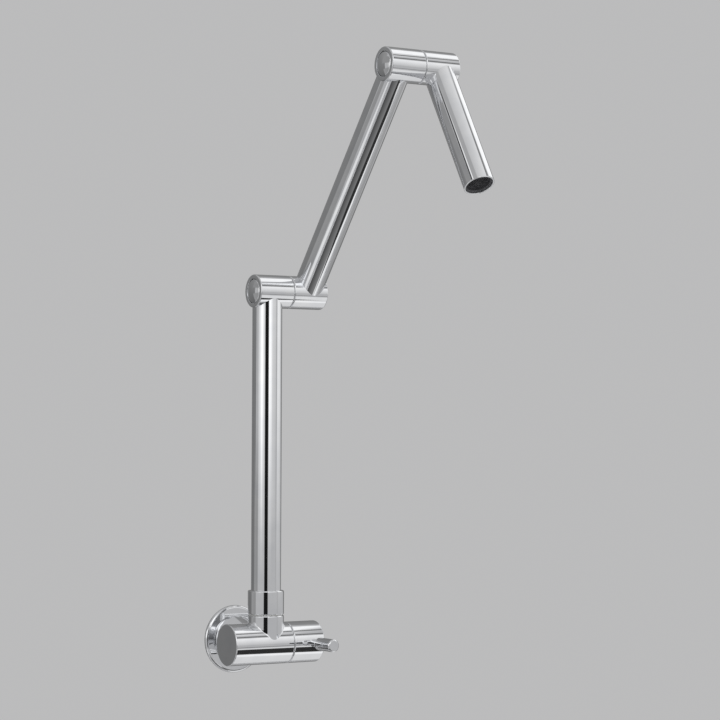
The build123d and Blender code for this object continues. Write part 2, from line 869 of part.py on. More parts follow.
def make_knuckle(name, lower_tube, lower_direction, upper_direction):
    """A knuckle on an axis along X. Its left half takes the lower tube, its right half the upper."""
    left_end = lower_tube - Vector(outer_length, 0, 0)
    section = Plane(origin=left_end, x_dir=(1, 0, 0), z_dir=(0, -1, 0))

    pieces[name + "_lower_housing"] = knuckle_housing(
        section,
        outer_length,
        lower_direction,
        [
            (0, 0),
            (0, knuckle_radius - end_edge),
            (end_edge, knuckle_radius),
            (lower_face - seam_edge, knuckle_radius),
            (lower_face, knuckle_radius - seam_edge),
            (lower_face, 0),
        ],
        [
            (0, 0),
            (0, cap_recess_radius),
            (cap_floor, cap_recess_radius),
            (cap_floor, nut_recess_radius),
            (nut_floor, nut_recess_radius),
            (nut_floor, end_journal_bore),
            (chamber_start, end_journal_bore),
            (chamber_start, chamber_radius),
            (chamber_end, chamber_radius),
            (chamber_end, journal_bore),
            (lower_face, journal_bore),
            (lower_face, 0),
        ],
        knuckle_port_radius,
    )
    upper = knuckle_housing(
        section,
        upper_tube_s,
        upper_direction,
        [
            (upper_face, 0),
            (upper_face, knuckle_radius - seam_edge),
            (upper_face + seam_edge, knuckle_radius),
            (knuckle_end - end_round, knuckle_radius),
            (knuckle_end, knuckle_radius - end_round),
            (knuckle_end, 0),
        ],
        [
            (upper_face, 0),
            (upper_face, head_bore),
            (knuckle_end - end_wall, head_bore),
            (knuckle_end - end_wall, 0),
        ],
        outlet_port_radius,
    )
    pieces[name + "_upper_housing"] = upper

    seal_places = [
        ((nut_floor + chamber_start) / 2, end_journal_bore),
        (chamber_end + journal_seal_inset, journal_bore),
        (lower_face - journal_seal_inset, journal_bore),
    ]
    head_end = upper_face + pivot_head_length
    with BuildPart() as pivot:
        with BuildSketch(section):
            with BuildLine():
                Polyline(
                    (cap_floor + nut_play, 0),
                    (cap_floor + nut_play, pivot_thread_radius),
                    (nut_floor, pivot_thread_radius),
                    (nut_floor, end_journal_radius),
                    (chamber_start + face_clearance, end_journal_radius),
                    (chamber_start + face_clearance, waist_radius),
                    (chamber_end, waist_radius),
                    (chamber_end, pivot_radius),
                    (upper_face, pivot_radius),
                    (upper_face, head_radius),
                    (head_end, head_radius),
                    (head_end, pivot_bore),
                    (chamber_start + pivot_floor, pivot_bore),
                    (chamber_start + pivot_floor, 0),
                    close=True,
                )
            make_face()
        revolve(axis=Axis(section.origin, section.x_dir))
        # cross holes that let the water in
        with Locations(Plane(origin=lower_tube, z_dir=(0, 0, 1))):
            Cylinder(pivot_hole_radius, 2 * pivot_radius, mode=Mode.SUBTRACT)
        with Locations(Plane(origin=lower_tube, z_dir=(0, 1, 0))):
            Cylinder(pivot_hole_radius, 2 * pivot_radius, mode=Mode.SUBTRACT)
        for middle, bore in seal_places:
            add(turned(section, groove_outline(middle, bore)), mode=Mode.SUBTRACT)
    pieces[name + "_pivot"] = pivot

    with BuildPart() as seals:
        for middle, bore in seal_places:
            add(o_ring(section, middle, bore))
    pieces[name + "_o_rings"] = seals

    nut_face = section.origin + Vector(nut_floor - face_clearance, 0, 0)
    with BuildPart() as nut:
        with BuildSketch(Plane(origin=nut_face, z_dir=(-1, 0, 0))):
            RegularPolygon(nut_radius, 6)
            Circle(pivot_thread_radius + fixed_clearance, mode=Mode.SUBTRACT)
        extrude(amount=nut_thickness - face_clearance)
    pieces[name + "_nut"] = nut

    with BuildPart() as cap:
        with BuildSketch(section):
            with BuildLine():
                face = TangentArc(
                    (cap_inset - cap_crown, 0), (cap_inset, cap_radius), tangent=(0, 1)
                )
                Polyline(face @ 1, (cap_floor, cap_radius), (cap_floor, 0), face @ 0)
            make_face()
        revolve(axis=Axis(section.origin, section.x_dir))
    pieces[name + "_cap"] = cap

    with BuildPart() as washer:
        add(
            turned(
                section,
                ring_outline(
                    lower_face,
                    upper_face,
                    pivot_radius + running_clearance,
                    knuckle_radius - thrust_inset,
                ),
            )
        )
    pieces[name + "_thrust_washer"] = washer


make_knuckle("elbow", elbow_centre, Vector(0, 0, -1), arm_direction)
make_knuckle("wrist", wrist_centre, arm_direction * -1, spout_direction)

# ---- Aerator ----

spout_section = Plane(origin=spout_start, x_dir=spout_direction, z_dir=(1, 0, 0))
aerator_end = spout_length - aerator_inset
aerator_start = aerator_end - aerator_length
aerator_radius = tube_bore - fixed_clearance
aerator_bore = aerator_radius - aerator_wall
aerator_mouth = aerator_radius - aerator_lip
screen_seat = aerator_end - aerator_mouth_depth

with BuildPart() as aerator_housing:
    add(
        turned(
            spout_section,
            [
                (aerator_start, aerator_bore),
                (aerator_start, aerator_radius),
                (aerator_end, aerator_radius),
                (aerator_end, aerator_mouth),
                (screen_seat, aerator_mouth),
                (screen_seat, aerator_bore),
            ],
        )
    )
pieces["aerator_housing"] = aerator_housing

with BuildPart() as aerator_screen:
    with BuildSketch(Plane(origin=spout_start + spout_direction * screen_seat, z_dir=spout_direction)):
        Circle(aerator_mouth - fixed_clearance)
        with GridLocations(screen_pitch, screen_pitch, screen_rows, screen_rows):
            Circle(screen_hole_radius, mode=Mode.SUBTRACT)
    extrude(amount=screen_thickness)
pieces["aerator_screen"] = aerator_screen

with BuildPart() as aerator_gasket:
    add(
        turned(
            spout_section,
            ring_outline(
                aerator_start - gasket_thickness,
                aerator_start,
                aerator_bore + gasket_inset,
                aerator_radius,
            ),
        )
    )
pieces["aerator_gasket"] = aerator_gasket

for name, piece in pieces.items():
    piece.part.label = name
    export_step(piece.part, "parts/" + name + ".step")
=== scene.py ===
import json
import math

import bmesh
import bpy
from mathutils import Matrix, Vector


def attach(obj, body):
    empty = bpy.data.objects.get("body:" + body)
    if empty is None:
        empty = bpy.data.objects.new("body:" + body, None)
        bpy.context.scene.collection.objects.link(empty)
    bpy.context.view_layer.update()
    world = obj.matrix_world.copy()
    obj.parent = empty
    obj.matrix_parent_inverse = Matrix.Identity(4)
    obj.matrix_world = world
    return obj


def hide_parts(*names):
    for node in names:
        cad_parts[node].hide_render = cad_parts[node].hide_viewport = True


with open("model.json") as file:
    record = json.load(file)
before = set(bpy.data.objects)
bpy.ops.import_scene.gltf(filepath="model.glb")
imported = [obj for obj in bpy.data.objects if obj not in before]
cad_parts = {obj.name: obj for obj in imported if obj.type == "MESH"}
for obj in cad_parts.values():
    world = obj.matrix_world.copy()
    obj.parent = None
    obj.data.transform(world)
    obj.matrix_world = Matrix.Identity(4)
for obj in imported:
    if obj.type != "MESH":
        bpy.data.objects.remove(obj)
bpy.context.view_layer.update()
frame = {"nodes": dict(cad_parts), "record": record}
print("frame loaded:", len(frame["nodes"]), "nodes")

mm = 0.001

# where the axes run, in millimetres and degrees, as in the CAD model
layout = {
    "standoff": 47.5,  # from the flange's back to the riser's axis
    "barrelSetback": 1.5,  # of the barrel's axis behind the riser's
    "elbowHeight": 259.0,
    "armLength": 198.3,
    "armLean": 38.5,
    "spoutLength": 102.0,
    "spoutLean": 31.0,
    "tubeStep": 33.4,  # sideways, from a knuckle's lower tube to its upper tube
    "tubeRadius": 11.0,
    "tubeBore": 9.8,
    "knuckleRadius": 12.25,
    "barrelRadius": 15.25,
    "bossRadius": 13.3,
}

lean = math.radians(layout["armLean"])
riserFoot = Vector((0, -layout["standoff"], 0))
barrelCentre = riserFoot + Vector((0, layout["barrelSetback"], 0))
elbowCentre = riserFoot + Vector((0, 0, layout["elbowHeight"]))
armStart = elbowCentre + Vector((layout["tubeStep"], 0, 0))
wristCentre = armStart + Vector((0, -math.sin(lean), math.cos(lean))) * layout["armLength"]
spoutStart = wristCentre + Vector((layout["tubeStep"], 0, 0))

# turns that stand a shape, made upright along Z, on its own axis
alongX = ("Y", 90)
upwards = ("X", 0)
downwards = ("X", 180)
backwards = ("X", -90)
forwards = ("X", 90)
alongArm = ("X", layout["armLean"])
alongSpout = ("X", 180 - layout["spoutLean"])

ringTolerance = 0.004  # mm, how far a point may lie from the ring that it is looked for on
mergeDistance = 1e-6  # metres, at which two points become one
cutterProud = 1.0  # mm, how far a cutter stands out of what it cuts
crossingPipe = {"sides": 288, "length": 80.0}  # what the saddle-shaped ends are fitted to
noiseRange = (0.3, 0.7)  # what a noise texture mostly gives
blotchDetail = 4.0
grainDetail = 6.0


def newMaterial(name):
    material = bpy.data.materials.new(name)
    material.use_nodes = True
    return material, material.node_tree, material.node_tree.nodes["Principled BSDF"]


def addNode(tree, kind, **values):
    # a value goes to the socket of its name, or else to the node's own setting
    node = tree.nodes.new(kind)
    for key, value in values.items():
        if key in node.inputs:
            node.inputs[key].default_value = value
        else:
            setattr(node, key, value)
    return node


def mathNode(tree, operation, first, second):
    node = addNode(tree, "ShaderNodeMath", operation=operation)
    tree.links.new(first, node.inputs[0])
    tree.links.new(second, node.inputs[1])
    return node.outputs["Value"]


def mixShaders(tree, amount, first, second):
    node = addNode(tree, "ShaderNodeMixShader")
    tree.links.new(amount, node.inputs["Fac"])
    tree.links.new(first, node.inputs[1])
    tree.links.new(second, node.inputs[2])
    return node.outputs["Shader"]


def objectNoise(tree, scale, detail, stretch=(1, 1, 1)):
    place = addNode(tree, "ShaderNodeTexCoord")
    mapping = addNode(tree, "ShaderNodeMapping", Scale=stretch)
    noise = addNode(tree, "ShaderNodeTexNoise", Scale=scale, Detail=detail)
    tree.links.new(place.outputs["Object"], mapping.inputs["Vector"])
    tree.links.new(mapping.outputs["Vector"], noise.inputs["Vector"])
    return noise.outputs["Fac"]


def spread(tree, value, wanted, given=noiseRange, kind="LINEAR"):
    # a value that runs over the given range is carried to the wanted one
    node = addNode(tree, "ShaderNodeMapRange", interpolation_type=kind)
    for socket, number in zip(("From Min", "From Max", "To Min", "To Max"), (*given, *wanted)):
        node.inputs[socket].default_value = number
    tree.links.new(value, node.inputs["Value"])
    return node.outputs["Result"]


def twoColours(tree, value, dark, light, stops=(0.35, 0.65)):
    ramp = addNode(tree, "ShaderNodeValToRGB")
    for element, position, colour in zip(ramp.color_ramp.elements, stops, (dark, light)):
        element.position = position
        element.color = (*colour, 1)
    tree.links.new(value, ramp.inputs["Fac"])
    return ramp.outputs["Color"]


def addBump(tree, shader, value, height):
    bump = addNode(tree, "ShaderNodeBump", Strength=1.0, Distance=height)
    tree.links.new(value, bump.inputs["Height"])
    tree.links.new(bump.outputs["Normal"], shader.inputs["Normal"])


def madeOf(name, look):
    material, tree, shader = newMaterial(name)
    shader.inputs["Metallic"].default_value = look["metal"]
    blotches = objectNoise(tree, look["blotch"], blotchDetail)
    grain = objectNoise(tree, look["grain"], grainDetail, look.get("stretch", (1, 1, 1)))
    tree.links.new(twoColours(tree, blotches, *look["colours"]), shader.inputs["Base Color"])
    tree.links.new(spread(tree, grain, look["roughness"]), shader.inputs["Roughness"])
    addBump(tree, shader, grain, look["relief"] * mm)
    return material


# bright plate: faint waves from polishing, a breath of haze and a few dried spots
chromeLook = {
    "tint": ((0.80, 0.81, 0.83), (0.85, 0.857, 0.87)),
    "roughness": (0.028, 0.06),
    "haze": 90.0, "hazeDetail": 5.0,
    "waves": 55.0, "waveDetail": 1.0, "waveHeight": 0.0022,
    "spots": 260.0, "spotRim": (0.22, 0.12), "spotHaze": 0.05,
    "patches": 40.0, "patchDetail": 2.0, "patchRange": (0.58, 0.72),
}


def makeChrome(look):
    material, tree, shader = newMaterial("polishedChrome")
    shader.inputs["Metallic"].default_value = 1.0
    haze = objectNoise(tree, look["haze"], look["hazeDetail"])
    tree.links.new(twoColours(tree, haze, *look["tint"]), shader.inputs["Base Color"])

    # dried spots are small, slightly duller discs that gather in patches
    place = addNode(tree, "ShaderNodeTexCoord")
    cells = addNode(tree, "ShaderNodeTexVoronoi", Scale=look["spots"])
    tree.links.new(place.outputs["Object"], cells.inputs["Vector"])
    discs = spread(tree, cells.outputs["Distance"], (0.0, 1.0), look["spotRim"], "SMOOTHSTEP")
    patches = objectNoise(tree, look["patches"], look["patchDetail"])
    spots = mathNode(
        tree, "MULTIPLY", discs, spread(tree, patches, (0.0, look["spotHaze"]), look["patchRange"])
    )
    roughness = mathNode(tree, "ADD", spread(tree, haze, look["roughness"]), spots)
    tree.links.new(roughness, shader.inputs["Roughness"])
    waves = objectNoise(tree, look["waves"], look["waveDetail"])
    addBump(tree, shader, waves, look["waveHeight"] * mm)
    return material


# colours are dark and light, and relief is in millimetres
slotLooks = {
    "bare_brass": {
        "metal": 1.0, "blotch": 70.0, "grain": 900.0, "relief": 0.004,
        "colours": ((0.64, 0.48, 0.23), (0.76, 0.61, 0.34)), "roughness": (0.2, 0.38),
    },
    "stainless_steel": {
        "metal": 1.0, "blotch": 120.0, "grain": 1400.0, "relief": 0.003,
        "colours": ((0.52, 0.52, 0.51), (0.66, 0.66, 0.65)), "roughness": (0.24, 0.42),
    },
    "black_rubber": {
        "metal": 0.0, "blotch": 150.0, "grain": 1800.0, "relief": 0.012,
        "colours": ((0.018, 0.018, 0.019), (0.042, 0.041, 0.04)), "roughness": (0.6, 0.85),
    },
    "white_ceramic": {
        "metal": 0.0, "blotch": 90.0, "grain": 1500.0, "relief": 0.001,
        "colours": ((0.82, 0.81, 0.77), (0.9, 0.89, 0.86)), "roughness": (0.12, 0.22),
    },
    "bearing_plastic": {
        "metal": 0.0, "blotch": 110.0, "grain": 1300.0, "relief": 0.004,
        "colours": ((0.74, 0.74, 0.7), (0.86, 0.86, 0.83)), "roughness": (0.4, 0.6),
    },
    "aerator_plastic": {
        "metal": 0.0, "blotch": 130.0, "grain": 1500.0, "relief": 0.005,
        "colours": ((0.07, 0.07, 0.075), (0.13, 0.13, 0.14)), "roughness": (0.34, 0.52),
    },
    "red_fibre": {
        "metal": 0.0, "blotch": 260.0, "grain": 1900.0, "stretch": (1, 6, 1), "relief": 0.01,
        "colours": ((0.33, 0.08, 0.055), (0.52, 0.16, 0.1)), "roughness": (0.7, 0.9),
    },
}

materials = {slot: madeOf(slot, look) for slot, look in slotLooks.items()}
materials["polished_chrome"] = makeChrome(chromeLook)

# every CAD node that stays gets the finish of its own slot
for part in frame["record"]["subparts"]:
    node = frame["nodes"][part["node"]]
    node.data.materials.clear()
    node.data.materials.append(materials[part["material_slot"]])
print("materials ready:", len(materials))


def deselectAll():
    for thing in list(bpy.context.selected_objects):
        thing.select_set(False)


def makeActive(piece):
    deselectAll()
    piece.select_set(True)
    bpy.context.view_layer.objects.active = piece


def pickEdges(piece, test):
    # in edit mode, only the edges whose two ends both pass the test are left selected
    bpy.ops.mesh.select_mode(type="EDGE")
    mesh = bmesh.from_edit_mesh(piece.data)
    for element in (*mesh.faces, *mesh.edges, *mesh.verts):
        element.select = False
    for edge in mesh.edges:
        if test(edge.verts[0].co / mm) and test(edge.verts[1].co / mm):
            edge.select_set(True)
    bmesh.update_edit_mesh(piece.data)


def onRing(along, radius):
    return lambda co: abs(co.z - along) < ringTolerance and abs(co.xy.length - radius) < ringTolerance


def atHeight(along):
    return lambda co: abs(co.z - along) < ringTolerance


def turnShape(name, outline, sides, closed=False, rounded=()):
    # a ring is drawn, then extruded and resized to each next (along, radius) of the outline;
    # a closed outline ends where it began, and an open one has both its ends filled
    deselectAll()
    along, radius = outline[0]
    bpy.ops.mesh.primitive_circle_add(vertices=sides, radius=radius * mm, fill_type="NOTHING")
    piece = bpy.context.object
    piece.name = piece.data.name = name
    bpy.ops.object.mode_set(mode="EDIT")
    bpy.ops.mesh.select_mode(type="EDGE")
    bpy.ops.mesh.select_all(action="SELECT")
    bpy.ops.transform.translate(value=(0, 0, along * mm))
    stops = list(outline[1:]) + ([outline[0]] if closed else [])
    for nextAlong, nextRadius in stops:
        bpy.ops.mesh.extrude_region_move(
            TRANSFORM_OT_translate={"value": (0, 0, (nextAlong - along) * mm)}
        )
        size = nextRadius / radius
        bpy.ops.transform.resize(value=(size, size, 1), center_override=(0, 0, 0))
        along, radius = nextAlong, nextRadius
    if closed:
        bpy.ops.mesh.select_all(action="SELECT")
        bpy.ops.mesh.remove_doubles(threshold=mergeDistance)
    else:
        for end in (outline[0], outline[-1]):
            pickEdges(piece, onRing(*end))
            bpy.ops.mesh.edge_face_add()
    for ringAlong, ringRadius, width, steps in rounded:
        pickEdges(piece, onRing(ringAlong, ringRadius))
        bpy.ops.mesh.bevel(offset=width * mm, segments=steps, affect="EDGES", clamp_overlap=False)
    bpy.ops.mesh.select_all(action="SELECT")
    bpy.ops.mesh.normals_make_consistent(inside=False)
    bpy.ops.object.mode_set(mode="OBJECT")
    return piece


def applyModifier(piece, kind, **values):
    makeActive(piece)
    modifier = piece.modifiers.new(kind.title(), kind)
    for key, value in values.items():
        setattr(modifier, key, value)
    bpy.ops.object.modifier_apply(modifier=modifier.name)


def restOnCylinder(piece, height, radius, tests, towards=1, shift=0):
    # rings of an upright shape are projected along Z onto a cylinder that crosses it along X
    deselectAll()
    bpy.ops.mesh.primitive_cylinder_add(
        vertices=crossingPipe["sides"], radius=radius * mm, depth=crossingPipe["length"] * mm,
        location=(0, shift * mm, height * mm), rotation=(0, math.pi / 2, 0), end_fill_type="NOTHING",
    )
    crossing = bpy.context.object
    group = piece.vertex_groups.new(name="saddle")
    wanted = [vert.index for vert in piece.data.vertices if any(test(vert.co / mm) for test in tests)]
    group.add(wanted, 1.0, "REPLACE")
    applyModifier(
        piece, "SHRINKWRAP", target=crossing, wrap_method="PROJECT", use_project_z=True,
        use_positive_direction=towards > 0, use_negative_direction=towards < 0,
        vertex_group="saddle",
    )
    piece.vertex_groups.clear()
    bpy.data.objects.remove(crossing)


def cutAway(piece, cutter):
    applyModifier(piece, "BOOLEAN", operation="DIFFERENCE", solver="EXACT", object=cutter)
    bpy.data.objects.remove(cutter)


def joinShapes(pieces):
    makeActive(pieces[0])
    for other in pieces[1:]:
        other.select_set(True)
    bpy.ops.object.join()
    return bpy.context.object


def standOn(piece, origin, turn):
    # a shape made upright at the origin is turned onto its axis and moved to its place
    makeActive(piece)
    axis, degrees = turn
    piece.matrix_world = Matrix.Translation(Vector(origin) * mm) @ Matrix.Rotation(
        math.radians(degrees), 4, axis
    )
    bpy.ops.object.transform_apply(location=True, rotation=True, scale=True)
    return piece


smoothing = {"angle": 32, "threadAngle": 40, "weight": 90}


def smoothShape(piece, angle):
    makeActive(piece)
    bpy.ops.object.shade_smooth_by_angle(angle=math.radians(angle))
    applyModifier(piece, "WEIGHTED_NORMAL", weight=smoothing["weight"], keep_sharp=True)


def finishPiece(piece, body, nodes, slot="polished_chrome", angle=smoothing["angle"]):
    smoothShape(piece, angle)
    piece.data.materials.clear()
    piece.data.materials.append(materials[slot])
    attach(piece, body)
    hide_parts(*nodes)
    print("piece:", piece.name, len(piece.data.polygons), "faces")
    return piece


# here and below, an edge's pair is how wide its rounding is and how many steps it takes
wallFlange = {
    "radius": 25.2, "depth": 2.7, "thickness": 1.0, "hole": 12.1, "sides": 224,
    "frontEdge": (2.2, 14), "backEdge": (0.2, 2), "holeEdge": (0.15, 2),
}


def makeFlange(flange):
    radius, depth, hole = flange["radius"], flange["depth"], flange["hole"]
    back, inner = radius - flange["thickness"], depth - flange["thickness"]
    outline = [(0, back), (0, radius), (depth, radius), (depth, hole), (inner, hole), (inner, back)]
    rounded = [
        (depth, radius, *flange["frontEdge"]), (0, radius, *flange["backEdge"]),
        (depth, hole, *flange["holeEdge"]),
    ]
    piece = turnShape("wallFlange", outline, flange["sides"], closed=True, rounded=rounded)
    standOn(piece, (0, 0, 0), forwards)
    return finishPiece(piece, "valve", ["wall_flange"])


makeFlange(wallFlange)


# places along the barrel run from the riser's axis, and heights from the barrel's axis
valveBody = {
    "left": -32.05, "right": 16.93, "barrelSides": 192, "leftEdge": (0.75, 5), "seamEdge": (0.85, 4),
    "nutBore": 11.5, "nutSeat": 12.9, "cartridgeBore": 9.0, "seat": -0.1,
    "galleryBore": 4.2, "galleryEnd": -9.1,
    "bossTop": 21.15, "bossBore": 9.5, "bossFoot": 1.0, "bossSides": 192, "bossEdge": (1.1, 4),
    "fillet": 0.8, "filletRings": 4, "ringGap": 0.1,
    "neckRadius": 12.0, "neckBore": 8.31, "neckStart": 8.0, "neckInset": 1.6, "neckSides": 160,
    "neckEdge": (0.4, 2),
    "footRadius": 17.8, "footBack": 2.75, "footRim": 2.2, "footLength": 15.0, "footOverlap": 0.5,
    "footSides": 176, "footBackEdge": (0.3, 2), "footRimEdge": (1.5, 6), "footFrontEdge": (1.2, 3),
}


def makeBarrel(body):
    radius, left, right = layout["barrelRadius"], body["left"], body["right"]
    outline = [
        (left, radius), (right, radius), (right, body["nutBore"]), (body["nutSeat"], body["nutBore"]),
        (body["nutSeat"], body["cartridgeBore"]), (body["seat"], body["cartridgeBore"]),
        (body["seat"], body["galleryBore"]), (body["galleryEnd"], body["galleryBore"]),
    ]
    rounded = [(left, radius, *body["leftEdge"]), (right, radius, *body["seamEdge"])]
    piece = turnShape("valveBody", outline, body["barrelSides"], rounded=rounded)
    return standOn(piece, barrelCentre, alongX)


def makeBoss(body):
    # the boss meets the barrel in a small cast fillet, which dies out at the front and back
    radius, foot, rings = layout["bossRadius"], body["bossFoot"], body["filletRings"]
    outline = [(foot, body["bossBore"]), (body["bossTop"], body["bossBore"]), (body["bossTop"], radius)]
    fillet = []
    for ring in range(rings + 1):
        turn = math.radians(90 * ring / rings)
        height = foot + body["ringGap"] * (rings + 1 - ring)
        width = radius + body["fillet"] * (1 - math.cos(turn))
        above = body["fillet"] * (1 - math.sin(turn))
        fillet.append((height, width, above))
        outline.append((height, width))
    rounded = [(body["bossTop"], radius, *body["bossEdge"])]
    piece = turnShape("boss", outline, body["bossSides"], closed=True, rounded=rounded)
    makeActive(piece)
    bpy.ops.object.mode_set(mode="EDIT")
    for height, width, _ in fillet:
        # each ring is drawn in at the front and back, to the boss's own radius
        pickEdges(piece, atHeight(height))
        bpy.ops.transform.resize(value=(1, radius / width, 1), center_override=(0, 0, 0))
    bpy.ops.object.mode_set(mode="OBJECT")
    barrel, setback = layout["barrelRadius"], layout["barrelSetback"]
    restOnCylinder(piece, 0, barrel, [onRing(foot, body["bossBore"])], shift=setback)
    for height, _, above in fillet:
        restOnCylinder(piece, 0, barrel + above, [atHeight(height)], shift=setback)
    return standOn(piece, riserFoot, upwards)


def makeNeck(body):
    # heights run backwards from the barrel's axis
    start, end = body["neckStart"], -barrelCentre.y - body["neckInset"]
    bore, radius = body["neckBore"], body["neckRadius"]
    outline = [(start, bore), (end, bore), (end, radius), (start, radius)]
    neck = turnShape(
        "neck", outline, body["neckSides"], closed=True, rounded=[(end, radius, *body["neckEdge"])]
    )
    restOnCylinder(neck, 0, layout["barrelRadius"], [onRing(start, bore), onRing(start, radius)])
    return standOn(neck, barrelCentre, backwards)


def makeFoot(body):
    # the cone at the neck's foot, just in front of the flange
    back = -barrelCentre.y - body["footBack"]
    rim, front = back - body["footRim"], back - body["footLength"]
    outer, neck = body["footRadius"], body["neckRadius"]
    inside = neck - body["footOverlap"]
    outline = [(back, inside), (back, outer), (rim, outer), (front, neck), (front, inside)]
    rounded = [
        (back, outer, *body["footBackEdge"]), (rim, outer, *body["footRimEdge"]),
        (front, neck, *body["footFrontEdge"]),
    ]
    foot = turnShape("foot", outline, body["footSides"], closed=True, rounded=rounded)
    return standOn(foot, barrelCentre, backwards)


def makeValveBody(body):
    piece = joinShapes([makeBarrel(body), makeBoss(body), makeNeck(body), makeFoot(body)])
    return finishPiece(piece, "valve", ["valve_body"])


makeValveBody(valveBody)


# heights run backwards from the flange's back
inletNipple = {
    "length": 14.0, "bore": 5.4, "sides": 144, "tipEdge": (0.5, 3),
    "rootRadius": 9.4, "crestRadius": 10.48, "pitch": 1.814, "turns": 6, "stepsPerTurn": 72,
    "threadStart": 1.2, "ridgeSunk": 0.3,
    "ridgeHalfWidths": (0.48, 0.45, 0.07),  # at the sunk foot, root and crest, in pitches
    "spigotRadius": 8.28, "spigotEnd": -12.3,
    "shoulderStart": -0.8, "shoulderEnd": 0.3, "shoulderRadius": 9.88, "shoulderEdge": (0.15, 2),
    "keyFlats": 12.0, "keyDepth": 6.0,
}


def makeThreadRidge(nipple):
    # one closed section of the ridge is wound round the axis by a screw modifier
    root, pitch = nipple["rootRadius"], nipple["pitch"]
    radii = (root - nipple["ridgeSunk"], root, nipple["crestRadius"])
    flank = list(zip(radii, nipple["ridgeHalfWidths"]))
    section = [(radius, -width) for radius, width in flank] + flank[::-1]
    deselectAll()
    bpy.ops.mesh.primitive_circle_add(vertices=len(section), radius=mm, fill_type="NOTHING")
    ridge = bpy.context.object
    for vert, (radius, height) in zip(ridge.data.vertices, section):
        vert.co = (radius * mm, 0, (nipple["threadStart"] + height * pitch) * mm)
    applyModifier(
        ridge, "SCREW", axis="Z", angle=math.tau, screw_offset=pitch * mm, iterations=nipple["turns"],
        steps=nipple["stepsPerTurn"], render_steps=nipple["stepsPerTurn"],
    )
    makeActive(ridge)
    bpy.ops.object.mode_set(mode="EDIT")
    bpy.ops.mesh.select_mode(type="EDGE")
    bpy.ops.mesh.select_all(action="DESELECT")
    bpy.ops.mesh.select_non_manifold()
    bpy.ops.mesh.edge_face_add()
    bpy.ops.mesh.select_all(action="SELECT")
    bpy.ops.mesh.normals_make_consistent(inside=False)
    bpy.ops.object.mode_set(mode="OBJECT")
    return ridge


def hexCutter(flats, low, high):
    # a hexagon's corners lie at its width across the flats over the square root of three
    deselectAll()
    bpy.ops.mesh.primitive_cylinder_add(
        vertices=6, radius=flats / math.sqrt(3) * mm, depth=(high - low) * mm,
        location=(0, 0, (low + high) / 2 * mm),
    )
    return bpy.context.object


def makeNipple(nipple):
    length, bore, root = nipple["length"], nipple["bore"], nipple["rootRadius"]
    start, end, shoulder = nipple["shoulderStart"], nipple["shoulderEnd"], nipple["shoulderRadius"]
    outline = [
        (nipple["spigotEnd"], bore), (nipple["spigotEnd"], nipple["spigotRadius"]),
        (start, nipple["spigotRadius"]), (start, shoulder), (end, shoulder), (end, root),
        (length, root), (length, bore),
    ]
    rounded = [
        (length, root, *nipple["tipEdge"]), (end, shoulder, *nipple["shoulderEdge"]),
        (start, shoulder, *nipple["shoulderEdge"]),
    ]
    core = turnShape("inletNipple", outline, nipple["sides"], closed=True, rounded=rounded)
    cutAway(core, hexCutter(nipple["keyFlats"], length - nipple["keyDepth"], length + cutterProud))
    piece = joinShapes([core, makeThreadRidge(nipple)])
    standOn(piece, (0, 0, 0), backwards)
    return finishPiece(piece, "valve", ["inlet_nipple"], "bare_brass", smoothing["threadAngle"])


makeNipple(inletNipple)


# a foam ring that fills the hollow behind the flange
flangeSeal = {"back": 0.03, "front": 1.65, "gap": 0.3, "sides": 144, "backEdge": (0.35, 3)}


def makeFlangeSeal(seal):
    outer = wallFlange["radius"] - wallFlange["thickness"] - seal["gap"]
    inner = valveBody["neckRadius"] + seal["gap"]
    back, front = seal["back"], seal["front"]
    outline = [(back, inner), (front, inner), (front, outer), (back, outer)]
    rounded = [(back, inner, *seal["backEdge"]), (back, outer, *seal["backEdge"])]
    piece = turnShape("flangeSeal", outline, seal["sides"], closed=True, rounded=rounded)
    standOn(piece, (0, 0, 0), forwards)
    return finishPiece(piece, "valve", ["flange_seal"], "black_rubber")


makeFlangeSeal(flangeSeal)


# low and high are how far a screw's ends stand from the axis of what it is screwed into
grubScrews = {
    "hub": {"x": 27.68, "low": 3.63, "high": 14.55, "radius": 2.0, "hole": 2.1},
    "collar": {"z": 29.35, "low": 8.9, "high": 12.9, "radius": 1.5, "hole": 1.6},
    "socket": 0.88,  # across the flats, as a share of the screw's radius
    "socketDepth": 1.6, "sides": 64, "edge": (0.25, 3),
}


def makeGrubScrew(name, screw, origin, turn, body, node):
    low, high, radius = screw["low"], screw["high"], screw["radius"]
    piece = turnShape(
        name, [(low, radius), (high, radius)], grubScrews["sides"],
        rounded=[(high, radius, *grubScrews["edge"])],
    )
    flats = grubScrews["socket"] * radius
    cutAway(piece, hexCutter(flats, high - grubScrews["socketDepth"], high + cutterProud))
    standOn(piece, origin, turn)
    return finishPiece(piece, body, [node], "stainless_steel")


def screwHole(screw, origin, turn, reach):
    low, high = screw["low"], reach + 2 * cutterProud
    deselectAll()
    bpy.ops.mesh.primitive_cylinder_add(
        vertices=grubScrews["sides"], radius=screw["hole"] * mm, depth=(high - low) * mm,
        location=(0, 0, (low + high) / 2 * mm),
    )
    bpy.ops.object.transform_apply(location=True, rotation=True, scale=True)
    return standOn(bpy.context.object, origin, turn)


# start, end, cavity and the spline's end are places along the barrel, as in the valve's body
handleHub = {
    "start": 17.13, "end": 42.73, "thickness": 3.0, "sides": 192,
    "seamEdge": (0.85, 4), "endEdge": (0.9, 6),
    "cavity": 23.18, "splineEnd": 32.83, "splineBore": 3.63,
    "nearScrew": (24.9, 30.4),  # rings that keep the screw's hole from straining the faces
}


